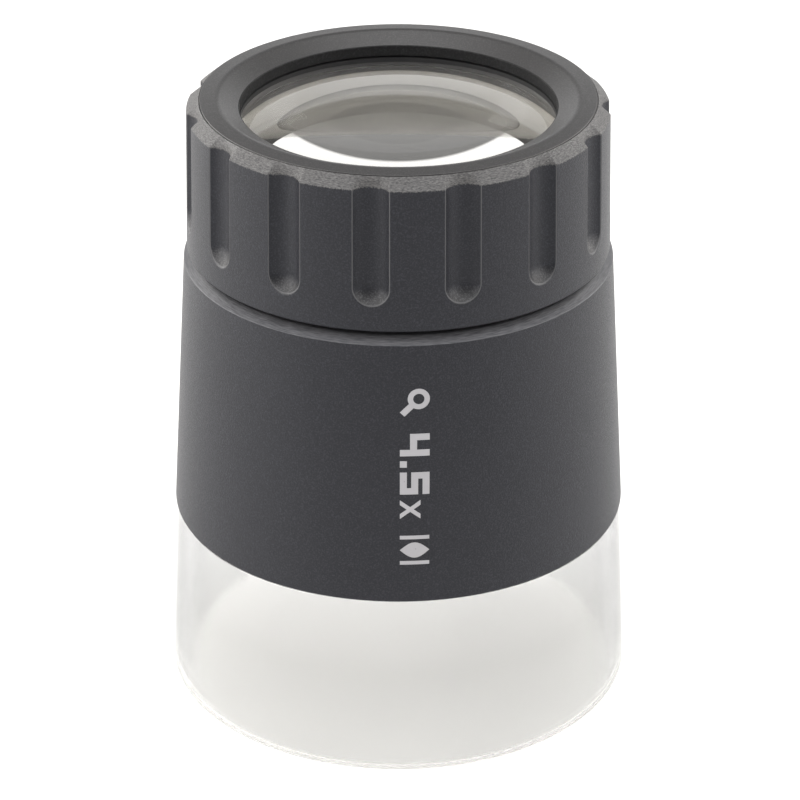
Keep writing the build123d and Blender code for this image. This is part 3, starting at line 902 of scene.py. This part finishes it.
# ------------------------------------------------------------------ lenses
LENS_R = 18.25
CAP_RINGS = 48
CROWN_CURVE = 60.0
CEMENT_CURVE = 60.0
FLINT_CURVE = 150.0
LOWER_CURVE = 125.0
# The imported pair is 0.02 mm apart; cement leaves no air there, so the flint reaches a hair inside
CEMENT_REACH = 0.03


def sag_of(curve):
    """Height of a lens face over its rim; a hollow face has a negative curve."""
    return math.copysign(abs(curve) - math.sqrt(curve ** 2 - LENS_R ** 2), curve)


def cap_points(edge_z, curve, upwards):
    """Points of a spherical face from the axis to the rim, bulging up or down."""
    side = 1 if upwards else -1
    points = []
    for i in range(CAP_RINGS + 1):
        r = LENS_R * i / CAP_RINGS
        height = math.sqrt(curve ** 2 - r ** 2) - math.sqrt(curve ** 2 - LENS_R ** 2)
        points.append((r, edge_z + side * math.copysign(height, curve)))
    return points


def make_lens(name, node, top_curve, foot_curve, edge, lift=0.0):
    """Lens with exact spherical faces and a ground edge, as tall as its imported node."""
    low, high = node_box(node)
    top_edge_z = high.z - max(sag_of(top_curve), 0) + lift
    foot_edge_z = low.z + max(sag_of(foot_curve), 0)
    outline = cap_points(top_edge_z, top_curve, True) + cap_points(foot_edge_z, foot_curve, False)[::-1]
    lens = stands_for(lathe(name, outline), node, "lens_barrel")
    lens.data.materials.append(edge)
    for face in lens.data.polygons:
        if abs(face.normal.z) < 0.5:
            face.material_index = 1
            face.use_smooth = True
    sharpen_rims(lens)


def sharpen_rims(lens):
    """Mark the two rims of a lens sharp, so that its faces keep their true curve up to the edge."""
    for edge in lens.data.edges:
        lit_ends = [lens.data.vertices[v].co for v in edge.vertices]
        at_rim = all(math.hypot(end.x, end.y) > (LENS_R - 0.01) * MM for end in lit_ends)
        edge.use_edge_sharp = at_rim and abs(lit_ends[0].z - lit_ends[1].z) < 0.001 * MM


make_skirt()
make_housing()
make_ring()
make_rim()
make_print()
blackened_edge = ground_edge_material("blackened_edge", 0.14)
plain_edge = ground_edge_material("ground_edge", 0.5)
make_lens("crown_lens_glass", "crown_lens", CROWN_CURVE, CEMENT_CURVE, blackened_edge)
make_lens("flint_lens_glass", "flint_lens", -CEMENT_CURVE, FLINT_CURVE, blackened_edge, CEMENT_REACH)
make_lens("lower_lens_glass", "lower_lens", LOWER_CURVE, LOWER_CURVE, plain_edge)


# ------------------------------------------------------------------ studio
FLOOR_HALF = 3.0
# The paper lies a hair under the table's plane, so that the skirt's foot stays clear of it
FLOOR_DROP = 0.00004
FLOOR_GLOW = 0.15
LIGHT_DISTANCE = 0.7
LIGHT_AIM = Vector((0, 0, 0.04))
WARM_WHITE = (1.0, 0.975, 0.94)
WALL_DARK = 0.08
WALL_PALE = 0.40
WALL_PALE_FROM = 0.8
BACKDROP_TOP = 0.335
BACKDROP_FADE = 0.02
BACKDROP_SAG = 1.5
BACKDROP_RISE = 0.20
BACKDROP_SIDE_FROM = 0.55
BACKDROP_SIDE_TO = 0.75
CAMERA_ELEVATION = 27.71
CAMERA_DISTANCE = 0.376
CAMERA_LENS = 143.0
CAMERA_SENSOR = 36
CAMERA_SHIFT = 0.0019
LOOK_AT = Vector((0, 0, 0.0339))


def floor_material():
    made = Material("floor_paper", (0.93, 0.93, 0.92), 0.9)
    made.feed("Base Color", made.ramp(made.noise(25, 2.0), 0.54, 0.57))
    made.set(Emission_Color=(1, 1, 1, 1), Emission_Strength=FLOOR_GLOW)
    return made.data


def make_floor():
    signs = ((-1, -1), (1, -1), (1, 1), (-1, 1))
    corners = [(x * FLOOR_HALF, y * FLOOR_HALF, -FLOOR_DROP) for x, y in signs]
    floor = new_object("floor", corners, [(0, 1, 2, 3)], smooth=False)
    floor.data.materials.append(floor_material())


def softbox(name, azimuth, elevation, width, height, power, color=(1, 1, 1)):
    """Rectangular soft light aimed at the middle of the loupe. Azimuth 0 is the camera's side."""
    light = bpy.data.lights.new(name, "AREA")
    light.shape = "RECTANGLE"
    light.size = width
    light.size_y = height
    light.energy = power
    light.color = color
    lamp = bpy.data.objects.new(name, light)
    bpy.context.scene.collection.objects.link(lamp)
    turn = math.radians(azimuth)
    rise = math.radians(elevation)
    away = Vector((math.sin(turn) * math.cos(rise), -math.cos(turn) * math.cos(rise), math.sin(rise)))
    lamp.location = LIGHT_AIM + away * LIGHT_DISTANCE
    lamp.rotation_euler = (-away).to_track_quat("-Z", "Y").to_euler()


def make_camera():
    camera = bpy.data.cameras.new("camera")
    camera.lens = CAMERA_LENS
    camera.sensor_width = CAMERA_SENSOR
    camera.shift_x = CAMERA_SHIFT
    camera.clip_start = 0.01
    camera.clip_end = 20
    view = bpy.data.objects.new("camera", camera)
    bpy.context.scene.collection.objects.link(view)
    rise = math.radians(CAMERA_ELEVATION)
    away = Vector((0, -math.cos(rise), math.sin(rise)))
    view.location = LOOK_AT + away * CAMERA_DISTANCE
    view.rotation_euler = (-away).to_track_quat("-Z", "Y").to_euler()
    bpy.context.scene.camera = view


def make_world():
    """Walls that grow paler upwards, and a bright low backdrop whose top edge sags in the middle."""
    world = bpy.data.worlds.new("studio")
    world.use_nodes = True
    nodes = Nodes(world.node_tree, "Generated")
    x, y, z = nodes.axes(nodes.coords)
    walls = nodes.ramp(z, WALL_DARK, WALL_PALE, 0.0, WALL_PALE_FROM)
    bow = nodes.math("MULTIPLY", nodes.math("MULTIPLY", x, x), BACKDROP_SAG)
    over_sag = nodes.math("SUBTRACT", z, nodes.math("MINIMUM", bow, BACKDROP_RISE))
    under = nodes.ramp(over_sag, 1.0, 0.0, BACKDROP_TOP, BACKDROP_TOP + BACKDROP_FADE)
    behind = nodes.mask(y, BACKDROP_SIDE_FROM, BACKDROP_SIDE_TO)
    glow = nodes.math("MULTIPLY", under, behind)
    nodes.link(nodes.math("ADD", walls, glow), nodes.tree.nodes["Background"].inputs["Color"])
    bpy.context.scene.world = world


make_floor()
make_camera()
make_world()
softbox("left_light", -92, 18, 1.4, 0.7, 15.5, WARM_WHITE)
softbox("right_light", 94, 18, 1.2, 0.7, 10.8, WARM_WHITE)
softbox("top_light", 0, 80, 1.0, 0.85, 7.0)
bpy.context.scene.view_settings.view_transform = "Standard"
